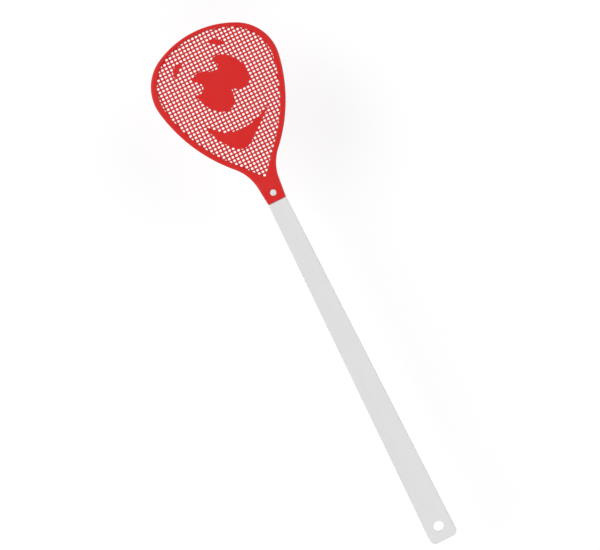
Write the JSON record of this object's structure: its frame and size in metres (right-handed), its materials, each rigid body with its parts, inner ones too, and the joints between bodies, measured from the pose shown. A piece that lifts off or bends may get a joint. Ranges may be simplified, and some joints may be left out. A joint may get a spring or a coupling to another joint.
{
  "type": "fly swatter",
  "caption": "Plug-together plastic fly swatter: egg-shaped mesh head with a smiling face, soft flexing neck, and a flat tapering handle with a hanging hole.",
  "frame": {"origin": "middle of the footprint, on the plane that the swatter's back lies on", "axes": "+Y along the handle towards the crown of the head, +X across it to the right, +Z out of the front face"},
  "size_m": [0.1024, 0.43, 0.0054],
  "materials": {
    "handle_plastic": "light grey injection-moulded polypropylene, satin",
    "head_plastic": "red injection-moulded polyethylene, satin"
  },
  "bodies": {
    "grip": {"handle": "handle_plastic", "head_sleeve": "head_plastic"},
    "paddle": {"head_paddle": "head_plastic"}
  },
  "joints": [
    {"name": "neck_flex", "type": "hinge", "parent": "grip", "child": "paddle", "pos_m": [0, 0.0896, 0.0018], "axis": [1, 0, 0], "range_deg": [-35, 35], "stiffness_Nm_per_rad": 0.5}
  ]
}
